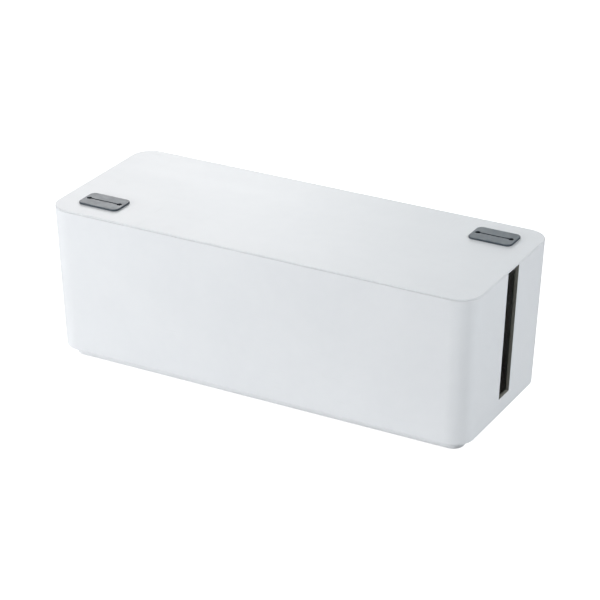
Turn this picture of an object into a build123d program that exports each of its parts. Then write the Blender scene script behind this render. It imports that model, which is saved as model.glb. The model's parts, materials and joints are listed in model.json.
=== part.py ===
"""Lidded cable box: a moulded tub, a lift-off lid, two soft cable outlets and four rubber feet.

The tub hides a power strip and its spare cable.  Cords leave through a tall slot in each end
wall, and thin charging cables leave through the two soft outlets in the lid.

Frame: millimetres, +Z up.  The origin is the centre of the footprint, on the surface that the
box stands on.  X runs along the length, and the front wall faces -Y.
"""

import os
from math import radians, tan

from build123d import *

os.makedirs("parts", exist_ok=True)

# ---------------------------------------------------------------- driving dimensions
LENGTH = 400.0          # over the lid and the rim, along X
DEPTH = 157.0           # over the lid and the rim, along Y
LID_TOP = 141.0         # flat top of the lid above the desk
CORNER_R = 19.5         # plan radius of the lid and of the tub's rim
END_DRAFT = 2.0         # lean of the end walls, narrower towards the bottom, in degrees
SIDE_DRAFT = 1.65       # lean of the long walls, in degrees
WALL = 3.0              # tub wall

# tub base
FOOT_PROUD = 0.5        # the rubber feet stand this far below the base ring
BASE_RING_H = 7.5       # visible height of the recessed base ring
BASE_INSET = 9.4        # the base ring stands this far inside the tub's lower edge
BASE_R = 9.5            # plan radius of the base ring
SHELL_BOTTOM_R = 19.0   # plan radius of the tub at its lower edge
SHELL_EDGE_R = 2.0      # rounding under the tub's lower edge and around its floor
FLOOR = 2.6             # floor thickness

# lid
LID_EDGE = 1.2          # thickness of the lid's visible edge
LID_EDGE_R = 0.5        # rounding of the lid's top edge
LID_UNDER_R = 0.3       # rounding of the lid's lower edge
LID_PLATE = 2.5         # thickness of the lid inside the rim
LID_NEST_GAP = 0.5      # side clearance between the nested lid and the tub wall
LID_SEAM = 0.15         # gap between the lid's rim and the tub's rim
SKIRT_WALL = 1.6        # locating skirt under the lid
SKIRT_DEPTH = 6.3       # skirt below the lid's rim
EDGE_BREAK = 0.4        # small rounding of the tub's rim

# cord slots in the middle of the end walls
SLOT_WIDTH = 21.1       # at its lower edge
SLOT_DRAFT = 0.3        # lean of the slot's sides, wider towards the rim, in degrees
SLOT_BOTTOM = 24.4      # lower edge of the slot above the desk
SLOT_EDGE_R = 0.5       # rounding of the slot's outer edges

# soft cable outlets in the lid
OUTLET_X = 161.0
OUTLET_Y = 47.5
OUTLET_LENGTH = 39.4
OUTLET_DEPTH = 25.1
OUTLET_R = 5.0
OUTLET_PROUD = 1.6      # top of the outlet above the lid
OUTLET_EDGE_R = 0.5     # rounding of the outlet's top edge
OUTLET_OVERLAP = 1.2    # the outlet's flange reaches this far past its neck
OUTLET_GAP = 0.2        # clearance between the outlet's neck and the lid opening
OUTLET_NECK_WALL = 0.8
OUTLET_MEMBRANE = 2.0   # thickness of the slit face
OUTLET_LIP = 1.6        # thickness of the retaining lip below the lid
OUTLET_LIP_REACH = 1.2  # the lip reaches this far past the neck
CABLE_HOLE_R = 2.3
CABLE_HOLE_PITCH = 30.4
SLIT_WIDTH = 1.6

# wall ribs that carry the lid's skirt
RIB_X = (-135.0, -45.0, 45.0, 135.0)
RIB_THICK = 2.0
RIB_DEPTH = 8.0

# floor vents, and stiffeners under the floor and under the lid
VENT_COUNT = 7
VENT_PITCH = 30.0
VENT_LENGTH = 70.0
VENT_WIDTH = 5.0
STIFFENER = 2.0
FLOOR_STIFFENER_H = 4.0
FLOOR_STIFFENER_X = 112.0
FLOOR_STIFFENER_Y = 44.0
LID_STIFFENER_H = 3.0
LID_STIFFENER_X = (-110.0, 0.0, 110.0)

# rubber feet
FOOT_X = 168.0
FOOT_Y = 47.0
FOOT_R = 6.0
FOOT_THICK = 2.5
FOOT_GAP = 0.2          # clearance around the foot in its pocket
BOSS_R = 8.5
FOOT_EDGE_R = 0.6

# ---------------------------------------------------------------- derived heights and insets
BASE_BOTTOM = FOOT_PROUD
SHELL_BOTTOM = BASE_BOTTOM + BASE_RING_H
FLOOR_TOP = SHELL_BOTTOM + FLOOR
LID_RIM_UNDER = LID_TOP - LID_EDGE
LID_PLATE_UNDER = LID_TOP - LID_PLATE
RIM_TOP = LID_RIM_UNDER - LID_SEAM
SKIRT_BOTTOM = LID_RIM_UNDER - SKIRT_DEPTH
SLOT_TOP_WIDTH = SLOT_WIDTH + 2 * (RIM_TOP - SLOT_BOTTOM) * tan(radians(SLOT_DRAFT))
NEST_INSET = WALL + LID_NEST_GAP
NECK_LENGTH = OUTLET_LENGTH - 2 * OUTLET_OVERLAP
NECK_DEPTH = OUTLET_DEPTH - 2 * OUTLET_OVERLAP
NECK_R = OUTLET_R - OUTLET_OVERLAP


def lean(z, draft):
    """How far a wall's outer face has leaned in at height z, from its place at the rim."""
    return (RIM_TOP - z) * tan(radians(draft))


def plan(z, inset, radius, mode=Mode.ADD):
    """Rounded rectangle of the walls' outer face at height z, moved in by inset on every side."""
    RectangleRounded(
        LENGTH - 2 * lean(z, END_DRAFT) - 2 * inset,
        DEPTH - 2 * lean(z, SIDE_DRAFT) - 2 * inset,
        radius,
        mode=mode,
    )


# ---------------------------------------------------------------- tub
with BuildPart() as tub:
    # outer shell, narrower towards the bottom
    with BuildSketch(Plane.XY.offset(SHELL_BOTTOM)):
        plan(SHELL_BOTTOM, 0, SHELL_BOTTOM_R)
    with BuildSketch(Plane.XY.offset(RIM_TOP)):
        plan(RIM_TOP, 0, CORNER_R)
    loft(ruled=True)
    fillet(tub.faces().sort_by(Axis.Z)[0].edges(), SHELL_EDGE_R)
    fillet(tub.faces().sort_by(Axis.Z)[-1].edges(), EDGE_BREAK)

    # cavity above the floor, following the outer walls
    with BuildSketch(Plane.XY.offset(FLOOR_TOP)):
        plan(FLOOR_TOP, WALL, SHELL_BOTTOM_R - WALL)
    with BuildSketch(Plane.XY.offset(RIM_TOP)):
        plan(RIM_TOP, WALL, CORNER_R - WALL)
    loft(ruled=True, mode=Mode.SUBTRACT)
    cavity_floor = tub.faces().filter_by(Axis.Z).sort_by(SortBy.AREA)[-2:].sort_by(Axis.Z)[-1]
    fillet(cavity_floor.edges(), SHELL_EDGE_R)

    # recessed base ring that the tub stands on
    with BuildSketch(Plane.XY.offset(BASE_BOTTOM)):
        plan(SHELL_BOTTOM, BASE_INSET, BASE_R)
        plan(SHELL_BOTTOM, BASE_INSET + WALL, BASE_R - WALL, mode=Mode.SUBTRACT)
    extrude(amount=BASE_RING_H)

    # stiffeners under the floor, from the middle of one ring wall to the middle of the other
    ring_span_x = LENGTH - 2 * lean(SHELL_BOTTOM, END_DRAFT) - 2 * BASE_INSET - WALL
    ring_span_y = DEPTH - 2 * lean(SHELL_BOTTOM, SIDE_DRAFT) - 2 * BASE_INSET - WALL
    with BuildSketch(Plane.XY.offset(SHELL_BOTTOM - FLOOR_STIFFENER_H)):
        with Locations((0, FLOOR_STIFFENER_Y), (0, -FLOOR_STIFFENER_Y)):
            Rectangle(ring_span_x, STIFFENER)
        with Locations((FLOOR_STIFFENER_X, 0), (-FLOOR_STIFFENER_X, 0)):
            Rectangle(STIFFENER, ring_span_y)
    extrude(amount=FLOOR_STIFFENER_H)

    # bosses in the ring's corners, each with a pocket for a rubber foot
    with BuildSketch(Plane.XY.offset(BASE_BOTTOM)):
        with GridLocations(2 * FOOT_X, 2 * FOOT_Y, 2, 2):
            Circle(BOSS_R)
    extrude(amount=BASE_RING_H)
    with BuildSketch(Plane.XY.offset(BASE_BOTTOM)):
        with GridLocations(2 * FOOT_X, 2 * FOOT_Y, 2, 2):
            Circle(FOOT_R + FOOT_GAP)
    extrude(amount=FOOT_THICK - FOOT_PROUD, mode=Mode.SUBTRACT)

    # floor vents
    with BuildSketch(Plane.XY.offset(SHELL_BOTTOM)):
        with GridLocations(VENT_PITCH, 0, VENT_COUNT, 1):
            SlotOverall(VENT_LENGTH, VENT_WIDTH, rotation=90)
    extrude(amount=FLOOR, mode=Mode.SUBTRACT)

    # wall ribs: upright inner edge, outer edge buried in the middle of the leaning wall
    rib_outer_low = DEPTH / 2 - lean(FLOOR_TOP, SIDE_DRAFT) - WALL / 2
    rib_outer_high = DEPTH / 2 - lean(SKIRT_BOTTOM, SIDE_DRAFT) - WALL / 2
    rib_inner = DEPTH / 2 - WALL - RIB_DEPTH
    for rib_x in RIB_X:
        with BuildSketch(Plane.YZ.offset(rib_x)):
            with BuildLine():
                Polyline(
                    (rib_inner, FLOOR_TOP - FLOOR / 2),
                    (rib_outer_low, FLOOR_TOP - FLOOR / 2),
                    (rib_outer_high, SKIRT_BOTTOM),
                    (rib_inner, SKIRT_BOTTOM),
                    close=True,
                )
            make_face()
            mirror(about=Plane.YZ)
        extrude(amount=RIB_THICK / 2, both=True)

    # cord slots, open to the rim
    for end in (1, -1):
        with BuildSketch(Plane.YZ):
            with Locations((0, SLOT_BOTTOM)):
                Trapezoid(SLOT_WIDTH, RIM_TOP, 90 + SLOT_DRAFT, align=(Align.CENTER, Align.MIN))
        extrude(amount=end * LENGTH, mode=Mode.SUBTRACT)
        end_face = tub.faces().filter_by(GeomType.PLANE).sort_by(Axis.X)[-1 if end > 0 else 0]
        middle_edges = end_face.edges().filter_by_position(
            Axis.Y, -SLOT_TOP_WIDTH / 2, SLOT_TOP_WIDTH / 2
        )
        slot_edges = middle_edges.filter_by_position(Axis.Z, SLOT_BOTTOM - WALL, RIM_TOP)
        fillet(slot_edges, SLOT_EDGE_R)

tub.part.label = "tub"
export_step(tub.part, "parts/tub.step")


# ---------------------------------------------------------------- lid
with BuildPart() as lid:
    # thin rim that rests over the tub's rim
    with BuildSketch(Plane.XY.offset(LID_RIM_UNDER)):
        plan(RIM_TOP, 0, CORNER_R)
    extrude(amount=LID_EDGE)
    fillet(lid.faces().sort_by(Axis.Z)[-1].edges(), LID_EDGE_R)
    fillet(lid.faces().sort_by(Axis.Z)[0].edges(), LID_UNDER_R)

    # thicker plate that nests inside the tub
    with BuildSketch(Plane.XY.offset(LID_PLATE_UNDER)):
        plan(RIM_TOP, NEST_INSET, CORNER_R - NEST_INSET)
    extrude(amount=LID_PLATE - LID_EDGE)

    # locating skirt, and stiffeners between its long sides
    with BuildSketch(Plane.XY.offset(SKIRT_BOTTOM)):
        plan(RIM_TOP, NEST_INSET, CORNER_R - NEST_INSET)
        plan(RIM_TOP, NEST_INSET + SKIRT_WALL, CORNER_R - NEST_INSET - SKIRT_WALL, Mode.SUBTRACT)
    extrude(amount=SKIRT_DEPTH)
    with BuildSketch(Plane.XY.offset(LID_PLATE_UNDER - LID_STIFFENER_H)):
        for stiffener_x in LID_STIFFENER_X:
            with Locations((stiffener_x, 0)):
                Rectangle(STIFFENER, DEPTH - 2 * NEST_INSET - SKIRT_WALL)
    extrude(amount=LID_STIFFENER_H)

    # gaps in the skirt where the cords pass, in line with the tub's slots
    for end in (1, -1):
        with BuildSketch(Plane.YZ.offset(end * (LENGTH / 2 - CORNER_R))):
            with Locations((0, LID_PLATE_UNDER)):
                Rectangle(SLOT_TOP_WIDTH, 2 * SKIRT_DEPTH, align=(Align.CENTER, Align.MAX))
        extrude(amount=end * CORNER_R, mode=Mode.SUBTRACT)

    # openings for the soft outlets, front left and back right
    with BuildSketch(Plane.XY.offset(LID_PLATE_UNDER)):
        with Locations((-OUTLET_X, -OUTLET_Y), (OUTLET_X, OUTLET_Y)):
            RectangleRounded(
                NECK_LENGTH + 2 * OUTLET_GAP, NECK_DEPTH + 2 * OUTLET_GAP, NECK_R + OUTLET_GAP
            )
    extrude(amount=LID_PLATE, mode=Mode.SUBTRACT)

lid.part.label = "lid"
export_step(lid.part, "parts/lid.step")


# ---------------------------------------------------------------- soft cable outlets
def make_outlet(name, x, y):
    """Soft plug that snaps into the lid: flange, neck, retaining lip, and a slit between holes."""
    top = Plane(origin=(x, y, LID_TOP + OUTLET_PROUD))
    under_flange = Plane(origin=(x, y, LID_TOP))
    under_plate = Plane(origin=(x, y, LID_PLATE_UNDER))
    with BuildPart() as outlet:
        with BuildSketch(under_flange):
            RectangleRounded(OUTLET_LENGTH, OUTLET_DEPTH, OUTLET_R)
        extrude(amount=OUTLET_PROUD)
        fillet(outlet.faces().sort_by(Axis.Z)[-1].edges(), OUTLET_EDGE_R)

        # neck through the lid
        with BuildSketch(under_plate):
            RectangleRounded(NECK_LENGTH, NECK_DEPTH, NECK_R)
        extrude(amount=LID_PLATE)

        # retaining lip below the lid, tapered so that it can be pushed in
        with BuildSketch(under_plate):
            RectangleRounded(
                NECK_LENGTH + 2 * OUTLET_LIP_REACH,
                NECK_DEPTH + 2 * OUTLET_LIP_REACH,
                NECK_R + OUTLET_LIP_REACH,
            )
        with BuildSketch(under_plate.offset(-OUTLET_LIP)):
            RectangleRounded(NECK_LENGTH, NECK_DEPTH, NECK_R)
        loft(ruled=True)

        # hollow underside that leaves a thin slit face
        with BuildSketch(under_plate.offset(-OUTLET_LIP)):
            RectangleRounded(
                NECK_LENGTH - 2 * OUTLET_NECK_WALL,
                NECK_DEPTH - 2 * OUTLET_NECK_WALL,
                NECK_R - OUTLET_NECK_WALL,
            )
        extrude(
            amount=OUTLET_LIP + LID_PLATE + OUTLET_PROUD - OUTLET_MEMBRANE, mode=Mode.SUBTRACT
        )

        # cable holes joined by the slit
        with BuildSketch(top):
            with GridLocations(CABLE_HOLE_PITCH, 0, 2, 1):
                Circle(CABLE_HOLE_R)
            Rectangle(CABLE_HOLE_PITCH, SLIT_WIDTH)
        extrude(amount=-OUTLET_MEMBRANE, mode=Mode.SUBTRACT)
    outlet.part.label = name
    export_step(outlet.part, f"parts/{name}.step")


make_outlet("cable_outlet_front_left", -OUTLET_X, -OUTLET_Y)
make_outlet("cable_outlet_back_right", OUTLET_X, OUTLET_Y)


# ---------------------------------------------------------------- rubber feet
def make_foot(name, x, y):
    """Rubber disc stuck in a pocket of the base, with a rounded tread edge."""
    with BuildPart() as foot:
        with BuildSketch(Plane(origin=(x, y, 0))):
            Circle(FOOT_R)
        extrude(amount=FOOT_THICK)
        fillet(foot.edges().sort_by(Axis.Z)[0], FOOT_EDGE_R)
    foot.part.label = name
    export_step(foot.part, f"parts/{name}.step")


for side_x, side_name in ((-1, "left"), (1, "right")):
    for side_y, wall_name in ((-1, "front"), (1, "back")):
        make_foot(f"foot_{wall_name}_{side_name}", side_x * FOOT_X, side_y * FOOT_Y)
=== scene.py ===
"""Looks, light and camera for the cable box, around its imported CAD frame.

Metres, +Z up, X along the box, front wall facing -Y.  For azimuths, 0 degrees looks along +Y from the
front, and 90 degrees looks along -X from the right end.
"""

import json
from math import cos, radians, sin

import bpy
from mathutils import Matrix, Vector


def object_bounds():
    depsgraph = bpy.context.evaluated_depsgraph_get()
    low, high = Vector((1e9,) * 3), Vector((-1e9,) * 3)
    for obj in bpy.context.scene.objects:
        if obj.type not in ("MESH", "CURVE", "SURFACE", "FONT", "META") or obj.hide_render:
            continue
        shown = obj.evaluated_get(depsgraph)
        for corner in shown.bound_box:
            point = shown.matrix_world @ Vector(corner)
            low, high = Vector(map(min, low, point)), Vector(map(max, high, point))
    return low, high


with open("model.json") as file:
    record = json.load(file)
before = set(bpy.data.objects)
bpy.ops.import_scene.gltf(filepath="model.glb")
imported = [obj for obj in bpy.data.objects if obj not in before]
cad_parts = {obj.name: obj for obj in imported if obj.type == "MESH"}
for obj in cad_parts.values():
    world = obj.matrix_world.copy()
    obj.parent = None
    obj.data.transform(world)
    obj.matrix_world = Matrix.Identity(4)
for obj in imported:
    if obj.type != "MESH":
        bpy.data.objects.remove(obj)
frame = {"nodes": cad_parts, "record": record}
CAD_LOW, CAD_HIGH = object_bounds()
CENTRE = (CAD_LOW + CAD_HIGH) / 2
LENGTH = CAD_HIGH.x - CAD_LOW.x

MM = 0.001
EDGE_SAMPLES = 6                    # rays a bevel or openness node casts at each point
ENCLOSED_REACH = 180 * MM           # surfaces this near can close a point in

# camera
CAMERA_AZIMUTH = radians(28.506)
CAMERA_ELEVATION = radians(25.059)
CAMERA_ROLL = radians(0.267)
CAMERA_DISTANCE = 5.170 * LENGTH
CAMERA_LENS = 145.32
CAMERA_AIM = CENTRE + LENGTH * Vector((0.0094, 0.0, -0.0097))

# floor and light
FLOOR_SIZE = 40.0
FLOOR_GLOW = 0.75                   # lifts the floor to near white, for the camera only
FADE_START = 0.8 * LENGTH           # from here the floor's glow rises
FADE_END = 3.0 * LENGTH             # and from here it is as white as the backdrop
SKY_STRENGTH = 0.06
LIGHT_DISTANCE = 2.1                # of every softbox from the middle of the box
LIGHT_SIZE = 0.9                    # side of a square softbox
WHITE = (1.0, 1.0, 1.0, 1.0)

# where the inside and the cord slots' cut faces lie, from the record's openings
OPENINGS = {one["name"]: one["box_m"] for one in frame["record"]["physics"]["openings"]}
END_WALL = OPENINGS["cord_slot_right"][0][0]                # the end walls lie beyond this
SLOT_REACH = OPENINGS["cord_slot_right"][1][1] + 6 * MM     # the slots' cut faces lie within this
INSIDE_LOW = OPENINGS["power_strip_space"][0][2] - 4 * MM   # the tub's floor is just above this
PALE_START = END_WALL - 30 * MM     # the painted shade inside starts to turn paler towards the end wall, as painted light
PALE_END = END_WALL - 18 * MM       # and from here on it is as pale as it gets


# ---------------------------------------------------------------- shader helpers
class Shader:
    """A material's node tree, with short calls for the nodes that the looks below use."""

    def __init__(self, name):
        self.material = bpy.data.materials.new(name)
        self.material.use_nodes = True
        self.tree = self.material.node_tree
        self.tree.nodes.clear()

    def feed(self, socket, value):
        """Links a socket to the input, or sets the input to a plain value."""
        if isinstance(value, bpy.types.NodeSocket):
            self.tree.links.new(value, socket)
        else:
            socket.default_value = value

    def node(self, kind, inputs=None, **attributes):
        """Adds a node, sets its attributes and feeds its inputs by name or number."""
        made = self.tree.nodes.new(kind)
        for name, value in attributes.items():
            setattr(made, name, value)
        for name, value in (inputs or {}).items():
            self.feed(made.inputs[name], value)
        return made

    def place(self):
        """Position in the piece's own frame, in metres."""
        return self.node("ShaderNodeTexCoord").outputs["Object"]

    def stretched(self, x, y, z, turn=0.0):
        """Position in lengths of x, y and z metres, after a turn about the upright axis."""
        inputs = {
            "Vector": self.place(),
            "Rotation": (0.0, 0.0, radians(turn)),
            "Scale": (1 / x, 1 / y, 1 / z),
        }
        return self.node("ShaderNodeMapping", inputs).outputs["Vector"]

    def noise(self, size, detail=2.0, roughness=0.5):
        """Soft noise from 0 to 1 with blobs of about the given size, in metres."""
        inputs = {
            "Vector": self.place(),
            "Scale": 1 / size,
            "Detail": detail,
            "Roughness": roughness,
        }
        return self.node("ShaderNodeTexNoise", inputs).outputs["Fac"]

    def streaks(self, x, y, z, turn=0.0, detail=2.0):
        """Noise drawn out along the longest of the three sizes."""
        inputs = {"Vector": self.stretched(x, y, z, turn), "Scale": 1.0, "Detail": detail}
        return self.node("ShaderNodeTexNoise", inputs).outputs["Fac"]

    def cells(self, size):
        """Distance from the nearest of scattered points, 0 on each point."""
        inputs = {"Vector": self.place(), "Scale": 1 / size}
        return self.node("ShaderNodeTexVoronoi", inputs).outputs["Distance"]

    def grade(self, value, low, high, to_low=0.0, to_high=1.0):
        """Maps low..high to to_low..to_high, clamped."""
        inputs = {
            "Value": value,
            "From Min": low,
            "From Max": high,
            "To Min": to_low,
            "To Max": to_high,
        }
        return self.node("ShaderNodeMapRange", inputs).outputs["Result"]

    def math(self, operation, first, second=0.0):
        """One arithmetic operation on two values."""
        made = self.node("ShaderNodeMath", operation=operation)
        self.feed(made.inputs[0], first)
        self.feed(made.inputs[1], second)
        return made.outputs[0]

    def both(self, first, second):
        """Product of two masks."""
        return self.math("MULTIPLY", first, second)

    def mix(self, factor, first, second):
        """Colour mix, from first at 0 to second at 1."""
        made = self.node("ShaderNodeMix", data_type="RGBA")
        sockets = {socket.identifier: socket for socket in made.inputs}
        self.feed(sockets["Factor_Float"], factor)
        self.feed(sockets["A_Color"], first)
        self.feed(sockets["B_Color"], second)
        return next(socket for socket in made.outputs if socket.identifier == "Result_Color")

    def bump(self, height, depth, normal=None):
        """Relief of the given depth in metres, on top of a normal."""
        inputs = {"Height": height, "Distance": depth}
        if normal is not None:
            inputs["Normal"] = normal
        return self.node("ShaderNodeBump", inputs).outputs["Normal"]

    def soft_edges(self, radius):
        """Normal that rounds the sharp edges by radius."""
        return self.node("ShaderNodeBevel", {"Radius": radius}, samples=EDGE_SAMPLES).outputs["Normal"]

    def edge_mask(self, radius, low, high):
        """1 on edges and 0 on open faces, by how far the rounded normal leans from the face's."""
        flat = self.node("ShaderNodeNewGeometry").outputs["Normal"]
        made = self.node("ShaderNodeVectorMath", operation="DOT_PRODUCT")
        self.feed(made.inputs[0], self.soft_edges(radius))
        self.feed(made.inputs[1], flat)
        return self.grade(made.outputs["Value"], 1 - low, 1 - high)

    def openness(self, distance):
        """1 in the open and 0 where other surfaces stand all around within distance."""
        inputs = {"Distance": distance}
        return self.node("ShaderNodeAmbientOcclusion", inputs, samples=EDGE_SAMPLES).outputs["AO"]

    def ways(self, vector):
        """Sizes of a vector's three parts, whatever their sign."""
        parts = self.node("ShaderNodeSeparateXYZ", {"Vector": vector}).outputs
        return [self.math("ABSOLUTE", part) for part in parts]

    def slot_cut_mask(self):
        """1 on the cut faces of the cord slots in the end walls."""
        along, across, _ = self.ways(self.place())
        facing, _, _ = self.ways(self.node("ShaderNodeNewGeometry").outputs["Normal"])
        near_middle = self.math("LESS_THAN", across, SLOT_REACH)
        in_end_wall = self.math("GREATER_THAN", along, END_WALL)
        return self.both(self.both(near_middle, in_end_wall), self.grade(facing, 0.6, 0.2))

    def finish(self, **inputs):
        """Ends the tree in a principled surface, whose inputs are given by name."""
        named = {name.replace("_", " "): value for name, value in inputs.items()}
        surface = self.node("ShaderNodeBsdfPrincipled", named)
        output = self.node("ShaderNodeOutputMaterial")
        self.tree.links.new(surface.outputs[0], output.inputs["Surface"])
        return self.material


def colour(red, green, blue):
    """Opaque linear colour."""
    return (red, green, blue, 1.0)


# ---------------------------------------------------------------- materials
def white_plastic(name, cut_shade):
    """Satin white moulding: spark-eroded grain, faint flow marks and scuffs, polished edges."""
    shader = Shader(name)

    # cool white with a slow mottle and fainter small blotches
    slow = shader.grade(shader.noise(70 * MM, detail=3.0), 0.3, 0.7, 0.0, 0.7)
    small = shader.grade(shader.noise(9 * MM, detail=4.0), 0.3, 0.7, 0.0, 0.3)
    tone = shader.math("ADD", slow, small)
    base = shader.mix(tone, colour(0.800, 0.808, 0.816), colour(0.832, 0.838, 0.842))

    # hairline scuffs in patches, in two directions
    patches = shader.grade(shader.noise(55 * MM), 0.50, 0.62)
    one_way = shader.streaks(26 * MM, 0.7 * MM, 0.7 * MM, turn=24)
    other_way = shader.streaks(0.8 * MM, 34 * MM, 0.8 * MM, turn=-17)
    hairlines = shader.math("MAXIMUM", one_way, other_way)
    scuffs = shader.both(patches, shader.grade(hairlines, 0.66, 0.74))
    base = shader.mix(shader.both(scuffs, 0.25), base, colour(0.70, 0.70, 0.69))

    # edges rubbed a little brighter and smoother
    edges = shader.edge_mask(0.9 * MM, 0.02, 0.25)
    rubbed = shader.both(edges, shader.grade(shader.noise(14 * MM, detail=3.0), 0.35, 0.6, 0.4, 1.0))
    base = shader.mix(shader.both(rubbed, 0.5), base, colour(0.87, 0.872, 0.875))

    # painted shade in seams and corners, where other surfaces stand within 2 mm
    painted_crevice_shade = shader.grade(shader.openness(2 * MM), 0.20, 0.70, 0.60, 0.0)
    base = shader.mix(painted_crevice_shade, base, colour(0.42, 0.41, 0.38))

    # painted shade on the enclosed inside, and painted light that makes it paler and warmer near the
    # end walls
    along, _, height = shader.ways(shader.place())
    near_end = shader.grade(along, PALE_START, PALE_END)
    painted_inside_shade = shader.mix(near_end, colour(0.020, 0.022, 0.022), colour(0.40, 0.38, 0.27))
    closed_in = shader.grade(shader.openness(ENCLOSED_REACH), 0.01, 0.14, 0.88, 0.0)
    painted_shade = shader.both(closed_in, shader.math("GREATER_THAN", height, INSIDE_LOW))
    base = shader.mix(painted_shade, base, painted_inside_shade)

    # painted shade on the cut faces of the slots, in the tub only
    cut = shader.both(shader.slot_cut_mask(), cut_shade)
    base = shader.mix(cut, base, colour(0.150, 0.142, 0.105))

    # roughness: flow marks along the length, scuffs up, rubbed edges down
    flow = shader.grade(shader.streaks(190 * MM, 13 * MM, 30 * MM), 0.35, 0.65, 0.455, 0.475)
    rough = shader.math("ADD", flow, shader.both(scuffs, 0.10))
    rough = shader.math("SUBTRACT", rough, shader.both(rubbed, 0.10))

    # relief: soft edges, the slow wave of a moulded face, scuffs, then the fine grain
    normal = shader.soft_edges(0.5 * MM)
    normal = shader.bump(shader.noise(16 * MM, detail=1.0), 0.02 * MM, normal)
    normal = shader.bump(scuffs, -0.004 * MM, normal)
    normal = shader.bump(shader.noise(0.45 * MM, detail=3.0, roughness=0.6), 0.018 * MM, normal)
    return shader.finish(Base_Color=base, Roughness=rough, Normal=normal, IOR=1.49)


def outlet_rubber():
    """Dark blue-grey soft-touch moulding: pebbled grain, faint bloom, paler rubbed edges, dust."""
    shader = Shader("grey_soft_rubber")

    # base tone with a paler bloom in patches
    mottle = shader.grade(shader.noise(4 * MM, detail=3.0), 0.3, 0.7)
    base = shader.mix(mottle, colour(0.066, 0.086, 0.104), colour(0.082, 0.104, 0.124))
    bloom = shader.grade(shader.noise(13 * MM, detail=2.0), 0.45, 0.70, 0.0, 0.10)
    base = shader.mix(bloom, base, colour(0.26, 0.27, 0.28))

    # edges rubbed paler
    edges = shader.edge_mask(0.5 * MM, 0.02, 0.25)
    rubbed = shader.both(edges, shader.grade(shader.noise(3 * MM, detail=3.0), 0.35, 0.60, 0.2, 0.7))
    base = shader.mix(shader.both(rubbed, 0.5), base, colour(0.24, 0.26, 0.28))

    # specks of pale dust, more in some patches than in others
    specks = shader.grade(shader.cells(1.7 * MM), 0.16, 0.08)
    dusty = shader.grade(shader.noise(7 * MM), 0.48, 0.60)
    base = shader.mix(shader.both(shader.both(specks, dusty), 0.35), base, colour(0.45, 0.45, 0.44))

    # painted shade: the holes and the slit are painted near black where the rubber closes them in
    painted_shade = shader.grade(shader.openness(ENCLOSED_REACH), 0.26, 0.58, 1.0, 0.0)
    base = shader.mix(painted_shade, base, colour(0.004, 0.004, 0.005))

    # roughness and relief: soft edges, pebbles, then a finer grain
    pebbles = shader.cells(0.40 * MM)
    grain = shader.noise(0.18 * MM, detail=2.0)
    rough = shader.grade(shader.noise(5 * MM, detail=4.0), 0.3, 0.7, 0.46, 0.54)
    rough = shader.math("SUBTRACT", rough, shader.both(rubbed, 0.10))
    normal = shader.soft_edges(0.3 * MM)
    normal = shader.bump(pebbles, -0.030 * MM, normal)
    normal = shader.bump(grain, 0.008 * MM, normal)
    # the painted shade also turns down the specular in the holes and the slit
    gloss = shader.grade(painted_shade, 0.0, 1.0, 0.5, 0.0)
    return shader.finish(Base_Color=base, Roughness=rough, Normal=normal, Specular_IOR_Level=gloss)


def foot_rubber():
    """Black rubber disc: coarse grain, with desk dust on its tread edge."""
    shader = Shader("black_foot_rubber")
    mottle = shader.grade(shader.noise(2 * MM, detail=3.0), 0.3, 0.7)
    base = shader.mix(mottle, colour(0.024, 0.024, 0.026), colour(0.040, 0.040, 0.042))
    edges = shader.edge_mask(0.5 * MM, 0.02, 0.25)
    worn = shader.both(edges, shader.grade(shader.noise(1.5 * MM, detail=3.0), 0.4, 0.6, 0.2, 0.8))
    base = shader.mix(worn, base, colour(0.13, 0.128, 0.12))
    rough = shader.grade(shader.noise(1.2 * MM, detail=3.0), 0.3, 0.7, 0.72, 0.88)
    normal = shader.bump(shader.noise(0.4 * MM, detail=3.0), 0.05 * MM, shader.soft_edges(0.3 * MM))
    return shader.finish(Base_Color=base, Roughness=rough, Normal=normal)


def dress(material, *nodes):
    """Puts one material on every slot of the named CAD nodes."""
    for name in nodes:
        for material_slot in frame["nodes"][name].material_slots:
            material_slot.material = material


dress(white_plastic("white_tub_plastic", cut_shade=0.85), "tub")
dress(white_plastic("white_lid_plastic", cut_shade=0.0), "lid")
dress(outlet_rubber(), "cable_outlet_front_left", "cable_outlet_back_right")
dress(foot_rubber(), "foot_front_left", "foot_front_right", "foot_back_left", "foot_back_right")


# ---------------------------------------------------------------- floor, light and camera
def direction(azimuth, elevation):
    """Unit vector from the box towards a light or the camera."""
    level = cos(elevation)
    return Vector((sin(azimuth) * level, -cos(azimuth) * level, sin(elevation)))


def make_floor():
    """Pale floor that glows for the camera, so that it fades into the white backdrop."""
    mesh = bpy.data.meshes.new("floor")
    half = FLOOR_SIZE / 2
    corners = [(-half, -half, 0), (half, -half, 0), (half, half, 0), (-half, half, 0)]
    mesh.from_pydata(corners, [], [(0, 1, 2, 3)])
    floor = bpy.data.objects.new("floor", mesh)
    bpy.context.scene.collection.objects.link(floor)
    shader = Shader("floor")
    mottle = shader.grade(shader.noise(30 * MM, detail=4.0), 0.3, 0.7)
    away = shader.node("ShaderNodeVectorMath", {0: shader.place()}, operation="LENGTH")
    glow = shader.grade(away.outputs["Value"], FADE_START, FADE_END, FLOOR_GLOW, 1.0)
    seen = shader.node("ShaderNodeLightPath").outputs["Is Camera Ray"]
    material = shader.finish(
        Base_Color=shader.mix(mottle, colour(0.89, 0.89, 0.89), colour(0.91, 0.91, 0.91)),
        Roughness=1.0,
        Emission_Color=WHITE,
        Emission_Strength=shader.both(seen, glow),
    )
    mesh.materials.append(material)


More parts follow.
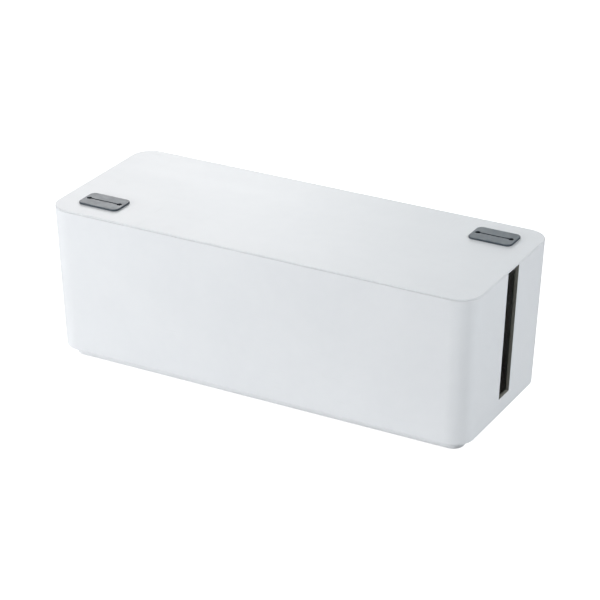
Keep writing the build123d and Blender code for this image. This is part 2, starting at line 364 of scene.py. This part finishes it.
def make_sky():
    """Faint even light from all around, and a white backdrop where the camera looks past the floor."""
    world = bpy.data.worlds.new("sky")
    world.use_nodes = True
    nodes = world.node_tree.nodes
    seen = nodes.new("ShaderNodeLightPath").outputs["Is Camera Ray"]
    strength = nodes.new("ShaderNodeMapRange")
    strength.inputs["To Min"].default_value = SKY_STRENGTH
    strength.inputs["To Max"].default_value = 1.0
    world.node_tree.links.new(seen, strength.inputs["Value"])
    background = nodes["Background"]
    background.inputs["Color"].default_value = WHITE
    world.node_tree.links.new(strength.outputs["Result"], background.inputs["Strength"])
    bpy.context.scene.world = world


def softbox(name, azimuth, elevation, power, tint):
    """Square studio light aimed at the middle of the box."""
    light = bpy.data.lights.new(name, "AREA")
    light.shape = "SQUARE"
    light.size = LIGHT_SIZE
    light.energy = power
    light.color = tint
    holder = bpy.data.objects.new(name, light)
    bpy.context.scene.collection.objects.link(holder)
    away = direction(radians(azimuth), radians(elevation))
    holder.location = CENTRE + away * LIGHT_DISTANCE
    holder.rotation_euler = (-away).to_track_quat("-Z", "Y").to_euler()


def make_camera():
    """Camera on the front right, looking down on the box."""
    camera = bpy.data.objects.new("camera", bpy.data.cameras.new("camera"))
    bpy.context.scene.collection.objects.link(camera)
    away = direction(CAMERA_AZIMUTH, CAMERA_ELEVATION)
    camera.location = CAMERA_AIM + away * CAMERA_DISTANCE
    camera.rotation_euler = (-away).to_track_quat("-Z", "Y").to_euler()
    camera.rotation_euler.rotate_axis("Z", CAMERA_ROLL)
    camera.data.lens = CAMERA_LENS
    bpy.context.scene.camera = camera


make_floor()
make_sky()
make_camera()
softbox("front_left", -40, 8, power=34.3, tint=(0.955, 0.975, 1.0))
softbox("back_left", -140, 25, power=17.0, tint=(1.0, 0.995, 1.0))
softbox("back", -160, 8, power=11.8, tint=(0.93, 0.99, 1.0))
softbox("right", 80, 42, power=26.2, tint=(0.92, 0.96, 1.0))

bpy.context.scene.view_settings.view_transform = "Standard"
bpy.context.scene.cycles.use_denoising = True
